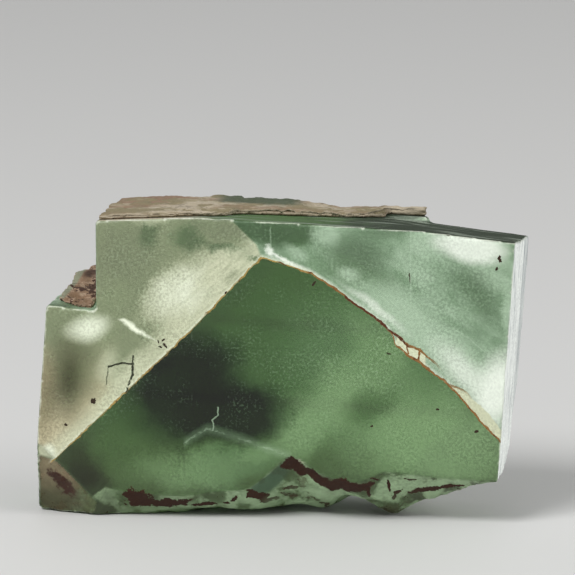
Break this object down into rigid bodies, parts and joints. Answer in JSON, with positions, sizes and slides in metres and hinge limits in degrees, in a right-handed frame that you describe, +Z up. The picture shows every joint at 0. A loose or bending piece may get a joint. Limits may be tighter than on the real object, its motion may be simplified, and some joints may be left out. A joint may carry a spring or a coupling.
{
  "type": "fluorite crystal block",
  "caption": "Blocky pale green fluorite crystal with cleavage steps, a broken scalloped base and tan weathered crust on its top and side ledge.",
  "frame": {"origin": "centre of the bounding box's bottom, on the surface that the crystal rests on", "axes": "+Z up, +X along the crystal from the stepped left end to the fibrous right face, -Y out of the broad front face"},
  "size_m": [0.0738, 0.0256, 0.0471],
  "materials": {
    "fluorite": "clear green crystal with a faintly etched face",
    "tan_crust": "matt layered tan stone",
    "brown_crust": "matt pitted brown stone"
  },
  "bodies": {
    "root": {"fluorite_block": "fluorite", "top_crust": "tan_crust", "ledge_crust": "brown_crust"}
  },
  "joints": []
}
